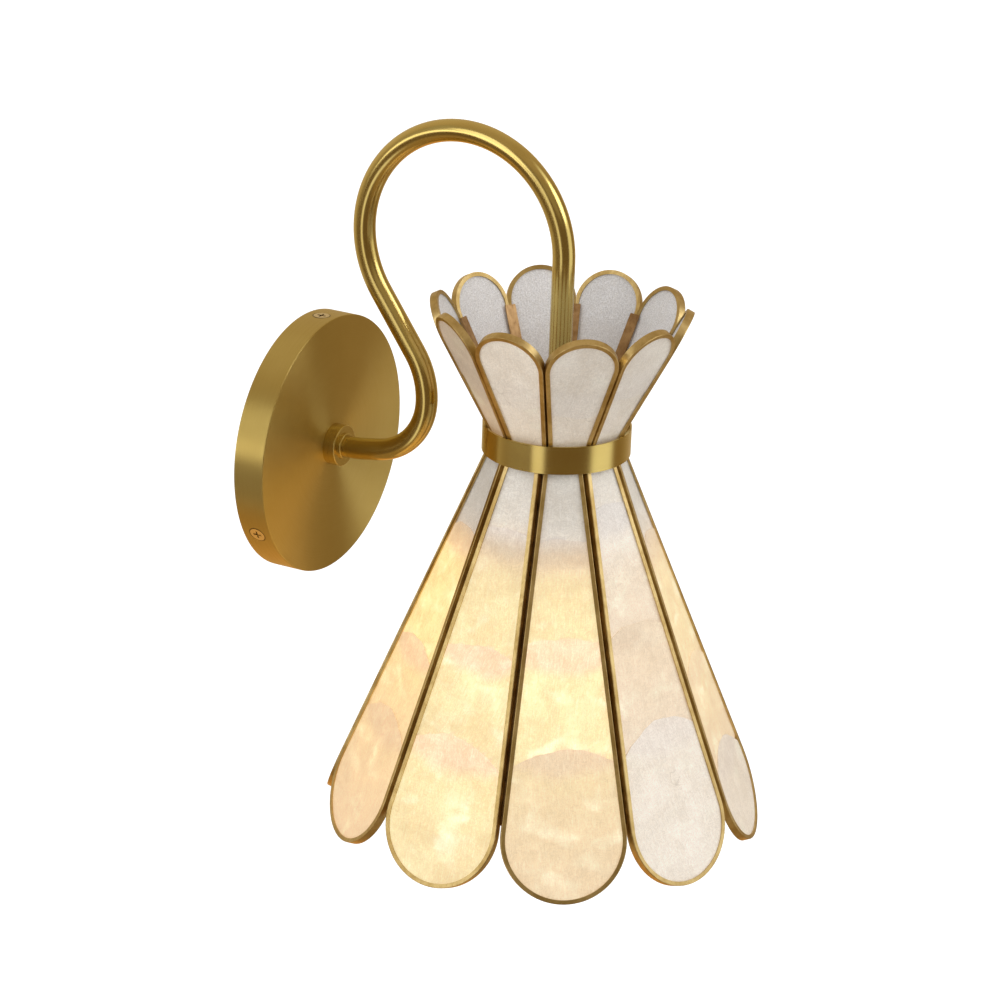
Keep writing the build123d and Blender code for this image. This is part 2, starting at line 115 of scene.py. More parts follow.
# How much lighter or darker the resting colour of some petals is drawn, against the others
SKIRT_TONES = {6: 1.0, 7: 1.18, 8: 1.01, 9: 1.19, 0: 1.05}
CROWN_TONES = {6: 0.52, 7: 1.08, 8: 0.95, 9: 0.98}

# ---------------------------------------------------------------- light and camera, its angles in degrees
GLOBE_EMISSION = 0.92
# Strength of the shells' painted glow, an emission that stands in for the lamp's light through them
SHELL_EMISSION = 0.84
FLOOR_Z = -1.5
FLOOR_HALF = 12.0
FLOOR_EMISSION = 0.6
LIGHT_SIZE = 1.2
LIGHT_AIM = Vector((0.0, -0.1, 0.0))
KEY_PLACE, KEY_POWER = Vector((0.3, -1.9, 1.1)), 9.0
SIDE_PLACE, SIDE_POWER = Vector((-1.9, 0.5, 0.9)), 5.0
CAMERA_PLACE = Vector((-1.280563, -0.795132, 0.530884))
CAMERA_AZIMUTH, CAMERA_ELEVATION, CAMERA_ROLL = -61.6031, 20.3589, 2.0601
CAMERA_LENS = 124.75
SENSOR_WIDTH = 36.0


# ---------------------------------------------------------------- node helpers
class Graph:
    """A material's or world's node tree, with short calls for the nodes used here."""

    def __init__(self, owner):
        owner.use_nodes = True
        self.tree = owner.node_tree
        self.tree.nodes.clear()

    def node(self, kind, inputs=None, **settings):
        made = self.tree.nodes.new(kind)
        for name, value in settings.items():
            setattr(made, name, value)
        for name, value in (inputs or {}).items():
            self.feed(made.inputs[name], value)
        return made

    def feed(self, socket, value):
        if isinstance(value, bpy.types.NodeSocket):
            self.tree.links.new(value, socket)
        elif isinstance(value, bpy.types.Node):
            self.tree.links.new(value.outputs[0], socket)
        else:
            socket.default_value = value

    def place(self):
        return self.node("ShaderNodeTexCoord").outputs["Object"]

    def part(self, vector, letter):
        return self.node("ShaderNodeSeparateXYZ", {0: vector}).outputs[letter]

    def math(self, operation, a, b=0.0):
        return self.node("ShaderNodeMath", {0: a, 1: b}, operation=operation).outputs[0]

    def times(self, a, b):
        return self.math("MULTIPLY", a, b)

    def vector(self, operation, a, b=(0, 0, 0)):
        made = self.node("ShaderNodeVectorMath", {0: a, 1: b}, operation=operation)
        return made.outputs["Value" if operation in ("DOT_PRODUCT", "LENGTH") else "Vector"]

    def mix(self, share, a, b, blend="MIX"):
        made = self.node("ShaderNodeMix", data_type="RGBA", blend_type=blend, clamp_factor=True)
        self.feed(made.inputs[0], share)
        self.feed(made.inputs[6], a)
        self.feed(made.inputs[7], b)
        return made.outputs[2]

    def span(self, value, low, high, to_low=0.0, to_high=1.0, smooth=True):
        kind = "SMOOTHSTEP" if smooth else "LINEAR"
        inputs = {0: value, 1: low, 2: high, 3: to_low, 4: to_high}
        return self.node("ShaderNodeMapRange", inputs, interpolation_type=kind, clamp=True).outputs[0]

    def noise(self, coords, scale, detail=3.0, rough=0.55, distortion=0.0):
        inputs = {"Vector": coords, "Scale": scale, "Detail": detail}
        inputs |= {"Roughness": rough, "Distortion": distortion}
        return self.node("ShaderNodeTexNoise", inputs).outputs["Fac"]

    def stretch(self, coords, scale):
        return self.node("ShaderNodeMapping", {"Vector": coords, "Scale": scale}).outputs[0]

    def bump(self, height, strength, distance):
        inputs = {"Height": height, "Strength": strength, "Distance": distance}
        return self.node("ShaderNodeBump", inputs).outputs[0]

    def finish_surface(self, inputs):
        """End a material with one principled shader."""
        shader = self.node("ShaderNodeBsdfPrincipled", inputs)
        out = self.node("ShaderNodeOutputMaterial")
        self.feed(out.inputs["Surface"], shader)


def colour(r, g, b):
    return (r, g, b, 1.0)


def grey(level):
    return (level, level, level, 1.0)


def new_material(name):
    made = bpy.data.materials.new(name)
    return made, Graph(made)


# ---------------------------------------------------------------- metals
BRASS_LIGHT = colour(0.63, 0.495, 0.175)
BRASS_DARK = colour(0.57, 0.43, 0.135)
COUNTERSINK_SHADE = colour(0.12, 0.08, 0.03)
QUARTER_TURN = 0.25


def brushed_tone(g, patch_scale, light, dark, grain, start, full, share):
    """Two tones in soft patches, with a share of the dark one along the deeper brush lines."""
    patch = g.noise(g.place(), patch_scale, 4.0, 0.6)
    tone = g.mix(g.span(patch, 0.3, 0.7), dark, light)
    return g.mix(g.span(grain, start, full, 0.0, share), tone, dark)


def metal(name, light, dark, rough, grain_scale, grain_depth):
    """Satin metal: two tones in soft patches, fine brush lines in roughness and relief."""
    made, g = new_material(name)
    place = g.place()
    fleck = g.noise(place, 900.0, 2.0, 0.6)
    grain = g.noise(g.stretch(place, grain_scale), 1.0, 3.0, 0.6)
    brushed = g.span(grain, 0.3, 0.7, rough - 0.05, rough + 0.05)
    g.finish_surface({
        "Base Color": brushed_tone(g, 18.0, light, dark, grain, 0.35, 0.65, 0.22),
        "Metallic": 1.0,
        "Roughness": g.math("ADD", brushed, g.times(fleck, 0.03)),
        "Normal": g.bump(grain, 0.25, grain_depth),
    })
    return made


def tube_brass():
    """Arm tube: smooth drawn brass, faint lines along it. The tube lies in one plane, so X is across it."""
    made, g = new_material("tube_brass")
    lines = g.noise(g.stretch(g.place(), (4200.0, 45.0, 45.0)), 1.0, 3.0, 0.6)
    g.finish_surface({
        "Base Color": brushed_tone(g, 26.0, BRASS_LIGHT, BRASS_DARK, lines, 0.4, 0.7, 0.12),
        "Metallic": 1.0,
        "Roughness": g.span(lines, 0.3, 0.7, 0.17, 0.21),
        "Normal": g.bump(lines, 0.04, 0.005 * MM),
    })
    return made


def rim_screw_places():
    """Middles of the screw heads in the backplate's rim, the first one at the top."""
    for k in range(RIM_SCREWS):
        angle = math.radians(90 + k * 360 / RIM_SCREWS)
        yield (PLATE_HIGH.x * math.cos(angle), PLATE_LOW.y / 2, PLATE_HIGH.x * math.sin(angle))


def turned_brass(name, rough, anisotropic):
    """Backplate and boss: fine circles turned about the wall axis, a painted shade round each countersink.
    """
    made, g = new_material(name)
    place = g.place()
    flat = g.vector("MULTIPLY", place, (1, 0, 1))
    around = g.noise(g.vector("NORMALIZE", flat), 3.0, 2.0)
    circles = g.node("ShaderNodeCombineXYZ", {
        "X": g.vector("LENGTH", flat),
        "Y": g.part(place, "Y"),
        "Z": g.times(around, 0.6 * MM),
    })
    groove = g.noise(circles.outputs[0], 2600.0, 3.0, 0.65)
    tone = brushed_tone(g, 14.0, BRASS_LIGHT, BRASS_DARK, groove, 0.35, 0.7, 0.25)
    # Painted shade: the brass darkens in a thin ring round each rim screw's head, where the gap by the
    # countersink lies in shade
    for centre in rim_screw_places():
        away = g.vector("LENGTH", g.vector("SUBTRACT", place, centre))
        shaded = g.span(away, 1.2 * RIM_HEAD_RADIUS, 1.05 * RIM_HEAD_RADIUS, 0.0, 0.8)
        tone = g.mix(shaded, tone, COUNTERSINK_SHADE)
    g.finish_surface({
        "Base Color": tone,
        "Metallic": 1.0,
        "Roughness": g.span(groove, 0.3, 0.7, rough, rough + 0.08),
        "Anisotropic": anisotropic,
        "Anisotropic Rotation": QUARTER_TURN,
        "Tangent": g.node("ShaderNodeTangent", direction_type="RADIAL", axis="Y"),
        "Normal": g.bump(groove, 0.2, 0.03 * MM),
    })
    return made


def band_brass():
    """Collar band: brushed round its hoop."""
    made, g = new_material("band_brass")
    place = g.place()
    groove = g.noise(g.stretch(place, (25.0, 25.0, 5200.0)), 1.0, 3.0, 0.6)
    outwards = g.vector("MULTIPLY", g.vector("SUBTRACT", place, tuple(AXIS)), (1, 1, 0))
    g.finish_surface({
        "Base Color": brushed_tone(g, 22.0, BRASS_LIGHT, BRASS_DARK, groove, 0.35, 0.7, 0.12),
        "Metallic": 1.0,
        "Roughness": g.span(groove, 0.3, 0.7, 0.22, 0.27),
        "Anisotropic": 0.75,
        "Anisotropic Rotation": QUARTER_TURN,
        "Tangent": g.vector("NORMALIZE", g.vector("CROSS_PRODUCT", outwards, (0, 0, 1))),
        "Normal": g.bump(groove, 0.06, 0.01 * MM),
    })
    return made


def channel_brass(name, light, dark, rough):
    """Petal channels: hand-finished strip with short scratches, darker where the solder was cleaned off."""
    made, g = new_material(name)
    place = g.place()
    patch = g.noise(place, 70.0, 4.0, 0.65)
    scratch = g.noise(g.stretch(place, (700.0, 700.0, 160.0)), 1.0, 3.0, 0.7)
    pit = g.noise(place, 2200.0, 2.0, 0.6)
    tone = g.mix(g.span(patch, 0.35, 0.65), dark, light)
    g.finish_surface({
        "Base Color": g.mix(g.span(scratch, 0.5, 0.75, 0.0, 0.5), tone, dark),
        "Metallic": 1.0,
        "Roughness": g.span(scratch, 0.3, 0.7, rough, rough + 0.15),
        "Normal": g.bump(g.math("ADD", scratch, g.times(pit, 0.4)), 0.3, 0.05 * MM),
    })
    return made


# ---------------------------------------------------------------- plastics, wires and the lamp
def plastic(name, base, rough):
    """Moulded plastic: faint clouds in its colour and a fine speckled surface."""
    made, g = new_material(name)
    place = g.place()
    speck = g.noise(place, 1500.0, 3.0, 0.6)
    cloud = g.noise(place, 60.0, 3.0, 0.5)
    dark = colour(*(0.85 * c for c in base[:3]))
    g.finish_surface({
        "Base Color": g.mix(g.span(cloud, 0.3, 0.7), base, dark),
        "Roughness": g.span(speck, 0.3, 0.7, rough - 0.05, rough + 0.08),
        "Normal": g.bump(speck, 0.15, 0.04 * MM),
    })
    return made


def lit_glass():
    """Frosted globe, lit from inside: brightest below its middle, duller towards the neck."""
    made, g = new_material("lit_glass")
    place = g.place()
    frost = g.noise(place, 2500.0, 2.0, 0.6)
    neck = GLOBE_CENTRE.z + 0.9 * GLOBE_RADIUS
    bright = GLOBE_CENTRE.z + 0.2 * GLOBE_RADIUS
    level = g.span(g.part(place, "Z"), neck, bright, 0.45, 1.0)
    base = g.mix(g.span(frost, 0.35, 0.65), colour(0.66, 0.60, 0.50), colour(0.74, 0.68, 0.58))
    g.finish_surface({
        "Base Color": base,
        "Roughness": g.span(frost, 0.3, 0.7, 0.45, 0.6),
        "Emission Color": colour(1.0, 0.84, 0.58),
        "Emission Strength": g.times(level, GLOBE_EMISSION),
        "Normal": g.bump(frost, 0.2, 0.02 * MM),
    })
    return made


# ---------------------------------------------------------------- capiz shell
# What a sheet's mesh carries at each point: its painted glow, an emission that stands in for the lamp's
# light from behind, whether two pieces lie on each other there, whether it is the petal's inner side, how
# light or dark the piece's resting colour is drawn, and how far the petal faces the wall, which makes its
# painted glow stronger and more orange
SHELL_MARKS = ("glow", "double", "inside", "tone", "wall_glow_boost")


def creases(g, uv):
    """Thin wrinkles, where a stretched noise passes through its middle."""
    field = g.noise(g.stretch(uv, (420.0, 240.0, 1.0)), 1.0, 5.0, 0.75, 2.2)
    off_middle = g.math("ABSOLUTE", g.math("SUBTRACT", field, 0.5))
    return g.span(off_middle, 0.0, 0.05, 1.0, 0.0)


def cracks(g, uv):
    """Hairlines along the edges of bent cells, in some places only."""
    bend = g.node("ShaderNodeTexNoise", {"Vector": uv, "Scale": 60.0, "Detail": 3.0}).outputs["Color"]
    bent = g.node("ShaderNodeMix", {0: 0.012, 4: uv, 5: bend}, data_type="VECTOR").outputs[1]
    cells = g.node("ShaderNodeTexVoronoi", {"Vector": bent, "Scale": 75.0}, feature="DISTANCE_TO_EDGE")
    line = g.span(cells.outputs["Distance"], 0.0, 0.018, 1.0, 0.0)
    return g.times(line, g.span(g.noise(uv, 38.0, 2.0), 0.56, 0.68))


class ShellPattern:
    """What the shell's colours, glow and relief share: the mesh's marks, and noise along the sheet."""

    def __init__(self, g):
        uv = g.node("ShaderNodeUVMap", uv_map="petal").outputs[0]
        self.glow, self.double, self.inside, self.tone, self.wall_glow_boost = (
            g.node("ShaderNodeAttribute", attribute_name=title, attribute_type="GEOMETRY").outputs["Fac"]
            for title in SHELL_MARKS
        )
        self.strong = g.span(self.glow, 0.45, 0.85)
        self.cloud = g.noise(uv, 55.0, 4.0, 0.55, 0.6)
        self.spots = g.noise(g.stretch(uv, (1.3, 0.9, 1.0)), 62.0, 2.0, 0.5, 0.4)
        self.blotch = g.noise(uv, 130.0, 4.0, 0.6, 0.8)
        self.fibre = g.noise(g.stretch(uv, (230.0, 1500.0, 1.0)), 1.0, 4.0, 0.7, 1.6)
        self.grit = g.noise(uv, 1500.0, 3.0, 0.7)
        self.crease = creases(g, uv)
        self.crack = cracks(g, uv)


def shell_base(g, shell):
    """Base colour of the shell: pearly where it rests, with a painted dull honey where its painted glow is,
    standing in for the lamp's light coming through.
    """
    pale = g.mix(g.span(shell.cloud, 0.3, 0.7), colour(0.70, 0.635, 0.545), colour(0.79, 0.74, 0.66))
    pearly = g.mix(g.span(shell.grit, 0.38, 0.62), colour(0.68, 0.67, 0.675), colour(0.93, 0.925, 0.935))
    lapped = g.span(shell.blotch, 0.35, 0.65)
    lavender = g.mix(lapped, colour(0.665, 0.61, 0.575), colour(0.73, 0.68, 0.645))
    resting = g.mix(shell.double, g.mix(shell.inside, pale, pearly), lavender)
    resting = g.mix(g.span(shell.fibre, 0.4, 0.75, 0.0, 0.55), resting, colour(0.90, 0.87, 0.82))
    resting = g.mix(g.times(shell.crease, 0.36), resting, colour(0.45, 0.41, 0.36))
    resting = g.mix(g.times(shell.crack, 0.3), resting, colour(0.36, 0.30, 0.23))
    resting = g.node("ShaderNodeVectorMath", {0: resting, 3: shell.tone}, operation="SCALE").outputs[0]
    # Painted lit colour: the base turns a dull honey where the painted glow is strong
    warm = g.mix(shell.strong, colour(0.52, 0.42, 0.28), colour(0.42, 0.33, 0.175))
    warm = g.mix(shell.double, warm, colour(0.47, 0.385, 0.27))
    return g.mix(g.span(shell.glow, 0.08, 0.6), resting, warm)


def shell_light(g, shell):
    """Colour of the painted glow, an emission that stands in for the light that comes through the shell."""
    single = g.mix(g.span(shell.cloud, 0.3, 0.72), colour(1.0, 0.76, 0.37), colour(1.0, 0.87, 0.46))
    single = g.mix(shell.strong, colour(1.0, 0.69, 0.42), single)
    single = g.mix(g.span(shell.spots, 0.5, 0.75, 0.0, 0.75), single, colour(1.0, 0.94, 0.66))
    double = g.mix(g.span(shell.blotch, 0.3, 0.7), colour(1.0, 0.64, 0.34), colour(1.0, 0.73, 0.45))
    light = g.mix(shell.double, single, double)
    light = g.mix(g.span(shell.fibre, 0.4, 0.75, 0.0, 0.4), light, colour(1.0, 0.94, 0.76))
    # Painted: petals that face the wall glow more orange
    return g.mix(shell.wall_glow_boost, light, colour(1.0, 0.76, 0.42), "MULTIPLY")


def shell_level(g, shell):
    """Strength of the painted glow, an emission that stands in for the light that comes through the shell.
    """
    level = shell.glow
    for factor in (
        g.span(shell.cloud, 0.25, 0.75, 0.97, 1.12),
        g.span(shell.spots, 0.5, 0.75, 1.0, 1.22),
        g.span(shell.blotch, 0.2, 0.8, 0.92, 1.08),
        g.span(shell.double, 0.0, 1.0, 1.0, 0.86, smooth=False),
        g.span(shell.crease, 0.0, 1.0, 1.0, 0.8),
        g.span(shell.fibre, 0.3, 0.7, 0.88, 1.1),
        # Painted: petals that face the wall glow more strongly
        g.span(shell.wall_glow_boost, 0.0, 1.0, 1.0, 1.35, smooth=False),
        g.span(shell.crack, 0.0, 1.0, 1.0, 0.88),
        SHELL_EMISSION,
    ):
        level = g.times(level, factor)
    return level


def capiz(name):
    """Lapped capiz shell: pearly and wrinkled at rest, with a painted honey-coloured glow where the lamp
    shines through.
    """
    made, g = new_material(name)
    shell = ShellPattern(g)
    relief = g.math("ADD", g.times(shell.fibre, 0.5), g.times(shell.grit, 0.25))
    relief = g.math("SUBTRACT", relief, g.times(shell.crease, 0.3))
    relief = g.math("SUBTRACT", relief, g.times(shell.crack, 0.4))
    g.finish_surface({
        "Base Color": shell_base(g, shell),
        "Roughness": g.span(shell.grit, 0.3, 0.7, 0.38, 0.52),
        "Specular IOR Level": 0.4,
        "Sheen Weight": 0.1,
        "Emission Color": shell_light(g, shell),
        "Emission Strength": shell_level(g, shell),
        "Normal": g.bump(relief, 0.6, 0.2 * MM),
    })
    return made


# ---------------------------------------------------------------- petals
class Ring:
    """A ring of petals, laid out as in the model. Places on a petal count from the waist to its tip."""

    def __init__(self, name, tip_radius, rise, azimuth, gap, pitch, tones):
        run = tip_radius - WAIST_RADIUS
        self.name = name
        self.azimuth = azimuth
        self.pitch = pitch
        self.tones = tones
        self.up = 1 if rise > 0 else -1
        self.length = math.hypot(run, rise)
        self.run = run / self.length
        self.rise = abs(rise) / self.length
        self.half_waist = WAIST_RADIUS * math.tan(HALF_STEP) - gap / 2
        self.side_slope = self.run * math.tan(HALF_STEP)
        self.side_angle = math.atan(self.side_slope)
        widest = self.half_waist + self.side_slope * self.length
        self.tip_round = widest * math.cos(self.side_angle) / (1 + math.sin(self.side_angle))
        self.tip_centre = self.length - self.tip_round

    def half_width(self, along):
        """Half the sheet's width at a distance from the waist."""
        tip_round = self.tip_round - SHEET_INSET
        if along > self.tip_centre - tip_round * math.sin(self.side_angle):
            return math.sqrt(max(0.0, tip_round**2 - (along - self.tip_centre) ** 2))
        return self.half_waist + self.side_slope * along - SHEET_INSET / math.cos(self.side_angle)

    def axes(self, number):
        """Origin, direction along, direction across and outward normal of one petal's outer face."""
        azimuth = math.radians(self.azimuth + number * 360 / PETALS)
        radial = Vector((math.sin(azimuth), -math.cos(azimuth), 0.0))
        rise = Vector((0.0, 0.0, self.up))
        along = radial * self.run + rise * self.rise
        normal = radial * self.rise - rise * self.run
        return AXIS + radial * WAIST_RADIUS + Vector((0, 0, WAIST_Z)), along, normal.cross(along), normal


# Tip radius, rise, bearing of the first petal in degrees, gap between petals, usual distance between pieces
CROWN = Ring("crown", 58.0 * MM, 60.8 * MM, 20.5, 1.2 * MM, 30.0 * MM, CROWN_TONES)
SKIRT = Ring("skirt", 99.5 * MM, -179.8 * MM, 16.2, 2.5 * MM, 47.0 * MM, SKIRT_TONES)


def smooth_step(x):
    x = min(1.0, max(0.0, x))
    return x * x * (3 - 2 * x)


def light_from_globe(place, inward):
    """Light from the globe on a point, 1 at a globe's radius from its surface, facing it."""
    way = GLOBE_CENTRE - place
    distance = way.length
    facing = max(0.0, way.normalized().dot(inward))
    return facing * (2 * GLOBE_RADIUS / distance) ** 2


def skirt_glow(along, place, inward):
    """Painted glow of a skirt petal: the globe's light, with a painted shadow of the holder near the waist,
    and painted bounced light.
    """
    # Painted bounced light, below the waist and further down
    under_waist = 0.12 * smooth_step((along - 5 * MM) / (40 * MM))
    further_down = 0.38 * smooth_step((along - 30 * MM) / (60 * MM))
    # Painted shadow that the holder casts near the waist
    past_holder = smooth_step((along - 26 * MM) / (34 * MM))
    direct = 1.1 * light_from_globe(place, inward) * past_holder
    return 1.0 - math.exp(-1.3 * (direct + (under_waist + further_down)))


def crown_glow(along, outer):
    """Painted glow of a crown petal, which the globe doesn't reach: an emission that stands in for the
    room's warm light, most at the collar.
    """
    return (0.12 + 0.07 * smooth_step(1 - along / (40 * MM))) if outer else 0.02


def wobble(seed, t, size, waves):
    """Irregular edge of a hand-cut piece: a smooth wander plus smaller nicks."""
    wander = noise.noise(Vector((t * waves, seed, 0.0)))
    nicks = noise.noise(Vector((t * waves * 4.0, seed, 7.0)))
    return size * (wander + 0.35 * nicks)


class Piece:
    """One cut piece of shell: its upper edge arches towards the waist, its lower edge lies under the next.
    Places on an edge run from -1 to 1 across the petal."""

    def __init__(self, ring, seed, lap, bottom, clearness, tone):
        self.ring = ring
        self.seed = seed
        self.top, self.arch, self.lean = lap
        self.bottom = bottom
        self.first = self.top == SHEET_FOOT
        self.last = self.bottom == ring.length - SHEET_INSET
        self.clearness = clearness
        self.tone = tone

    def upper_edge(self, t):
        if self.first:
            return self.top
        fall = self.ring.half_width(self.top) * (self.arch * t * t + self.lean * t)
        return self.top + fall + wobble(self.seed, t, UPPER_WOBBLE, UPPER_WAVES)

    def lower_edge(self, t):
        if self.last:
            return self.bottom
        rise = self.ring.half_width(self.bottom) * LOWER_ARCH * t * t
        return self.bottom - rise + wobble(self.seed + 50.0, t, LOWER_WOBBLE, LOWER_WAVES)


def lap_places(ring, number):
    """Upper edge, arch and lean of each piece below the first one."""
    if ring is SKIRT and number in SKIRT_LAPS:
        return [(place * MM, arch, lean) for place, arch, lean in SKIRT_LAPS[number]]
    places = [ring.pitch * random.uniform(0.7, 1.1)]
    while places[-1] + ring.pitch < ring.length - 0.6 * ring.pitch:
        places.append(places[-1] + ring.pitch * random.uniform(0.9, 1.1))
    return [(place, random.uniform(0.12, 0.4), random.uniform(-0.1, 0.1)) for place in places]


def clearness(ring, number, k):
    """How freely a piece lets light through, which scales its painted glow."""
    if ring is SKIRT and number in SKIRT_CLEARNESS:
        return SKIRT_CLEARNESS[number][k]
    if ring is CROWN and number in CROWN_CLEARNESS:
        return CROWN_CLEARNESS[number]
    return random.uniform(0.6, 1.1)


def cut_pieces(ring, number, outer):
    """The pieces of one side of a petal, from the waist to the tip, each with a seed of its own."""
    laps = [(SHEET_FOOT, 0.0, 0.0)] + lap_places(ring, number)
    bottoms = [top + LAP_LENGTH * random.uniform(*LAP_LENGTH_SPREAD) for top, _, _ in laps[1:]]
    bottoms.append(ring.length - SHEET_INSET)
    pieces = []
    for k, (lap, bottom) in enumerate(zip(laps, bottoms)):
        seed = 13.7 * number + 3.1 * k + (0 if outer else 500)
        clear = clearness(ring, number, k)
        tone = random.uniform(0.95, 1.05)
        if outer:
            tone = ring.tones.get(number, tone)
        pieces.append(Piece(ring, seed, lap, bottom, clear, tone))
    return pieces


class Sheet:
    """All the lapped pieces of one petal, on the channel's outer and inner side, as one mesh."""

    def __init__(self, ring, number):
        self.ring = ring
        self.number = number
        self.origin, self.along, self.across, self.normal = ring.axes(number)
        self.overlap_shows = SKIRT_OVERLAPS.get(number, 1.0) if ring is SKIRT else CROWN_OVERLAP
        self.points, self.faces, self.uvs, self.marks = [], [], [], []
        for outer in (True, False):
            pieces = cut_pieces(ring, number, outer)
            for k, piece in enumerate(pieces):
                above = pieces[k - 1] if k > 0 else None
                below = None if piece.last else pieces[k + 1]
                self.add_piece(piece, above, below, outer)

    # Painted glow at a point on the sheet
    def glow(self, along, place, outer):
        if self.ring is SKIRT:
            return skirt_glow(along, place, -self.normal)
        return crown_glow(along, outer)

    def double(self, along, t, above, below):
        """How plainly it shows that a neighbouring piece lies here too."""
        covered = 0.0
        if above:
            covered = smooth_step((above.lower_edge(t) - along) / OVERLAP_FADE + 0.4)
        if below and along > below.upper_edge(t):
            covered = 1.0
        return covered * self.overlap_shows

    def add_piece(self, piece, above, below, outer):
        """A piece: two skins and the edge between them, its pattern turned and shifted by chance."""
        rows = max(FEWEST_ROWS, int((piece.bottom - piece.top) / ROW_LENGTH))
        turn = random.uniform(-0.25, 0.25)
        shift = Vector((random.uniform(0, 9), random.uniform(0, 9)))
        starts = [len(self.points) + skin * (rows + 1) * (COLUMNS + 1) for skin in (0, 1)]
        for skin, start in enumerate(starts):
            self.add_skin(piece, above, below, outer, rows, skin, turn, shift)
            self.add_grid_faces(start, rows, (skin == 0) != outer)
        self.add_edge_faces(*starts, rows, outer)

    def add_skin(self, piece, above, below, outer, rows, skin, turn, shift):
        if outer:
            face_depth, inwards = FLANGE_THICKNESS + FLANGE_GAP, 1
        else:
            face_depth, inwards = CHANNEL_DEPTH - FLANGE_THICKNESS - FLANGE_GAP, -1
        # How far the petal faces the wall, which makes its painted glow stronger and more orange
        wall_glow_boost = smooth_step(self.normal.y)
        c, w = math.cos(turn), math.sin(turn)
        for j in range(rows + 1):
            for i in range(COLUMNS + 1):
                t = -1 + 2 * i / COLUMNS
                low, high = piece.upper_edge(t), piece.lower_edge(t)
                u = 1 - (1 - j / rows) ** 2 if piece.last else j / rows
                s = low + u * (high - low)
                x = t * self.ring.half_width(s)
                dip = 0.0 if piece.last else u
                depth = face_depth + inwards * (LAP_STEP * dip + skin * PIECE_THICKNESS)
                place = self.origin + self.along * s + self.across * x - self.normal * depth
                glow = piece.clearness * self.glow(s, place, outer)
                double = self.double(s, t, above, below)
                self.points.append(place)
                self.uvs.append((c * s - w * x + shift.x, w * s + c * x + shift.y))
                self.marks.append((glow, double, 0.0 if outer else 1.0, piece.tone, wall_glow_boost))

    def add_grid_faces(self, start, rows, forwards):
        row_points = COLUMNS + 1
        for j in range(rows):
            for i in range(COLUMNS):
                a = start + j * row_points + i
                quad = (a, a + 1, a + row_points + 1, a + row_points)
                self.faces.append(quad if forwards else quad[::-1])

    def add_edge_faces(self, first, second, rows, forwards):
        """Faces all round a piece, from its first skin to its second."""
        row_points = COLUMNS + 1
        loop = list(range(row_points))
        loop += [j * row_points + COLUMNS for j in range(1, rows + 1)]
        loop += [rows * row_points + i for i in range(COLUMNS - 1, -1, -1)]
        loop += [j * row_points for j in range(rows - 1, 0, -1)]
        for p, q in zip(loop, loop[1:] + loop[:1]):
            side = (first + p, first + q, second + q, second + p)
            self.faces.append(side if forwards else side[::-1])

    def make_object(self):
        name = f"{self.ring.name}_shell_sheet_{self.number + 1:02d}"
        mesh = bpy.data.meshes.new(name)
        mesh.from_pydata(self.points, [], self.faces)
        layer = mesh.uv_layers.new(name="petal")
        for loop in mesh.loops:
            layer.data[loop.index].uv = self.uvs[loop.vertex_index]
        for column, title in enumerate(SHELL_MARKS):
            attribute = mesh.attributes.new(title, "FLOAT", "POINT")
            attribute.data.foreach_set("value", [mark[column] for mark in self.marks])
        mesh.polygons.foreach_set("use_smooth", [True] * len(mesh.polygons))
        mesh.update()
        mesh.set_sharp_from_angle(angle=SHARP_ANGLE)
        made = bpy.data.objects.new(name, mesh)
        bpy.context.scene.collection.objects.link(made)
        return made


def build_shells():
    random.seed(RANDOM_SEED)
    material = capiz("capiz_shell")
    for ring in (CROWN, SKIRT):
        for number in range(PETALS):
            sheet = Sheet(ring, number).make_object()
            sheet.data.materials.append(material)
            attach(sheet, "sconce")
            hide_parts(f"{ring.name}_shell_{number + 1:02d}")


# ---------------------------------------------------------------- finishes of the model's own pieces
STEEL_PIECES = (
    "wall_plate", "earth_screw", "arm_washer", "arm_lock_nut", "spider_plate", "spider_nut",
    "terminal_screws",
)


def dress(names, material):
    for name in names:
        mesh = nodes[name].data
        mesh.materials.clear()
        mesh.materials.append(material)


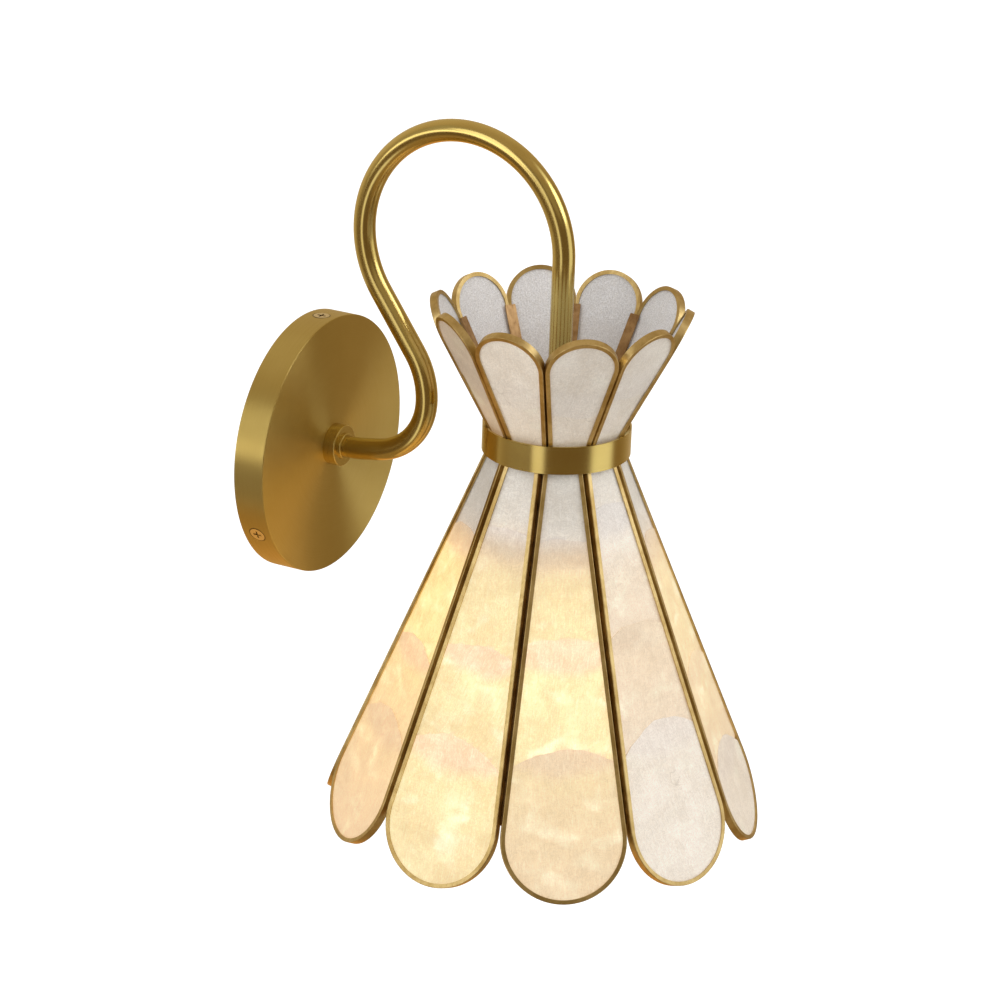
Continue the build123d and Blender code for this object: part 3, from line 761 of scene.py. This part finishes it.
def build_finishes():
    frames = [f"{ring.name}_frame_{n:02d}" for ring in (CROWN, SKIRT) for n in range(1, PETALS + 1)]
    frame_light, frame_dark = colour(0.66, 0.51, 0.24), colour(0.47, 0.33, 0.125)
    solder_light, solder_dark = colour(0.56, 0.37, 0.19), colour(0.34, 0.20, 0.09)
    screw_light, screw_dark = colour(0.82, 0.70, 0.45), colour(0.6, 0.47, 0.24)
    zinc_light, zinc_dark = colour(0.66, 0.7, 0.74), colour(0.5, 0.54, 0.6)
    contact_light, contact_dark = colour(0.75, 0.58, 0.28), colour(0.6, 0.44, 0.2)
    nickel_light, nickel_dark = colour(0.66, 0.64, 0.6), colour(0.52, 0.5, 0.47)
    fine_grain, finest_grain, long_grain = (600, 600, 600), (900, 900, 900), (1400, 1400, 90)

    dress(["backplate"], turned_brass("turned_brass", 0.38, 0.88))
    dress(["arm_boss"], turned_brass("boss_brass", 0.2, 0.5))
    dress(["arm_tube"], tube_brass())
    dress(["collar_band"], band_brass())
    dress(frames, channel_brass("channel_brass", frame_light, frame_dark, 0.3))
    solder = channel_brass("solder_brass", solder_light, solder_dark, 0.5)
    dress(["crown_armature", "skirt_armature"], solder)
    dress(["rim_screws"], metal("screw_brass", screw_light, screw_dark, 0.25, finest_grain, 0.03 * MM))
    dress(STEEL_PIECES, metal("zinc_steel", zinc_light, zinc_dark, 0.32, long_grain, 0.03 * MM))
    contacts = metal("contact_brass", contact_light, contact_dark, 0.25, fine_grain, 0.02 * MM)
    dress(["holder_contacts"], contacts)
    dress(["bulb_cap"], metal("nickel_cap", nickel_light, nickel_dark, 0.26, fine_grain, 0.02 * MM))
    dress(["terminal_block"], plastic("white_plastic", colour(0.78, 0.77, 0.73), 0.45))
    dress(["lamp_holder"], plastic("black_plastic", colour(0.05, 0.045, 0.04), 0.4))
    dress(["lead_wires"], plastic("wire_sleeve", colour(0.72, 0.69, 0.6), 0.5))
    dress(["bulb_glass"], lit_glass())


# ---------------------------------------------------------------- studio
# Panels of light that the metals mirror: azimuth, half width, elevation, half height and soft edge in
# degrees, then the panel's colour. A later panel covers an earlier one.
PANELS = (
    (-122, 22, 26, 10, 12, colour(0.48, 0.42, 0.31)),
    (-90, 6, -15, 30, 6, colour(1.2, 1.15, 1.1)),
    (14, 13, 0, 50, 12, colour(1.15, 1.12, 1.05)),
    (-50, 15, 24, 8, 10, colour(0.40, 0.33, 0.22)),
    (-121, 14, 1, 4, 6, colour(2.3, 2.2, 2.0)),
)


def bearing(azimuth, elevation):
    """Unit vector towards an azimuth (0 is -Y, 90 is +X) and an elevation, in degrees."""
    a, e = math.radians(azimuth), math.radians(elevation)
    return (math.sin(a) * math.cos(e), -math.cos(a) * math.cos(e), math.sin(e))


def panel(g, way, azimuth, half_width, elevation, half_height, soft):
    """How far a direction lies in a panel of light, 0 to 1."""
    flat = g.vector("NORMALIZE", g.vector("MULTIPLY", way, (1, 1, 0)))
    facing = g.vector("DOT_PRODUCT", flat, bearing(azimuth, 0))
    across = g.span(facing, math.cos(math.radians(half_width + soft)), math.cos(math.radians(half_width)))
    height = g.part(way, "Z")
    low, high = elevation - half_height, elevation + half_height
    above = g.span(height, math.sin(math.radians(low - soft)), math.sin(math.radians(low)))
    below = g.span(height, math.sin(math.radians(high + soft)), math.sin(math.radians(high)))
    return g.times(across, g.times(above, below))


def mirrored_room(g, way):
    """Warm room with pale panels, which gives the metals something to mirror."""
    height = g.part(way, "Z")
    behind = g.span(g.vector("DOT_PRODUCT", way, bearing(140, 8)), -0.1, 0.85)
    room = g.mix(behind, colour(0.20, 0.135, 0.07), colour(0.70, 0.58, 0.40))
    right = g.span(g.vector("DOT_PRODUCT", way, bearing(75, -5)), 0.2, 1.0)
    room = g.mix(g.times(right, 0.4), room, colour(0.48, 0.31, 0.11))
    overhead = g.span(height, 0.25, 0.8)
    room = g.mix(g.times(overhead, 0.7), room, colour(0.62, 0.49, 0.32))
    underneath = g.span(height, -0.5, -0.75)
    from_behind = g.span(g.vector("DOT_PRODUCT", way, bearing(150, 0)), 0.2, 0.55)
    below = g.mix(from_behind, colour(0.42, 0.28, 0.13), colour(1.05, 0.52, 0.11))
    room = g.mix(g.times(underneath, 0.9), room, below)
    for *extent, shine in PANELS:
        room = g.mix(panel(g, way, *extent), room, shine)
    return room


def build_world():
    """The camera sees white, the metals mirror a warm room with pale panels, and the rest is plain grey."""
    world = bpy.data.worlds.new("studio")
    bpy.context.scene.world = world
    g = Graph(world)
    way = g.node("ShaderNodeTexCoord").outputs["Generated"]
    path = g.node("ShaderNodeLightPath").outputs
    level = g.mix(path["Is Glossy Ray"], grey(0.8), mirrored_room(g, way))
    level = g.mix(path["Is Camera Ray"], level, grey(1.0))
    background = g.node("ShaderNodeBackground", {"Color": level, "Strength": 1.0})
    out = g.node("ShaderNodeOutputWorld")
    g.feed(out.inputs["Surface"], background)


def build_floor():
    """Plain pale floor, well below the lamp, that shows white where nothing shades it."""
    mesh = bpy.data.meshes.new("floor")
    corners = [(x * FLOOR_HALF, y * FLOOR_HALF, FLOOR_Z) for x, y in ((-1, -1), (1, -1), (1, 1), (-1, 1))]
    mesh.from_pydata(corners, [], [(0, 1, 2, 3)])
    floor = bpy.data.objects.new("floor", mesh)
    bpy.context.scene.collection.objects.link(floor)
    material, g = new_material("floor")
    path = g.node("ShaderNodeLightPath").outputs
    mirrored = g.math("MAXIMUM", path["Is Glossy Ray"], path["Is Transmission Ray"])
    seen = g.math("MAXIMUM", path["Is Camera Ray"], mirrored)
    g.finish_surface({
        "Base Color": grey(0.8),
        "Roughness": 0.9,
        "Specular IOR Level": 0.1,
        "Emission Color": grey(1.0),
        "Emission Strength": g.times(seen, FLOOR_EMISSION),
    })
    mesh.materials.append(material)
    floor.visible_glossy = False


def area_light(name, place, power):
    light = bpy.data.lights.new(name, "AREA")
    light.shape = "DISK"
    light.size = LIGHT_SIZE
    light.energy = power
    lamp = bpy.data.objects.new(name, light)
    lamp.location = place
    lamp.rotation_mode = "QUATERNION"
    lamp.rotation_quaternion = (LIGHT_AIM - place).to_track_quat("-Z", "Y")
    bpy.context.scene.collection.objects.link(lamp)


def build_camera():
    """Camera at the photograph's angle, fitted to the backplate, the arm and the petals' tips."""
    camera = bpy.data.cameras.new("camera")
    camera.sensor_width = SENSOR_WIDTH
    camera.lens = CAMERA_LENS
    camera.clip_end = 50.0
    holder = bpy.data.objects.new("camera", camera)
    back = Vector(bearing(CAMERA_AZIMUTH, CAMERA_ELEVATION))
    right = Vector((0, 0, 1)).cross(back).normalized()
    upright = Matrix((right, back.cross(right), back)).transposed()
    turn = upright @ Matrix.Rotation(math.radians(CAMERA_ROLL), 3, "Z")
    holder.matrix_world = Matrix.Translation(CAMERA_PLACE) @ turn.to_4x4()
    bpy.context.scene.collection.objects.link(holder)
    bpy.context.scene.camera = holder


build_finishes()
build_shells()
build_world()
build_floor()
area_light("key", KEY_PLACE, KEY_POWER)
area_light("side", SIDE_PLACE, SIDE_POWER)
build_camera()
bpy.context.scene.view_settings.view_transform = "Standard"
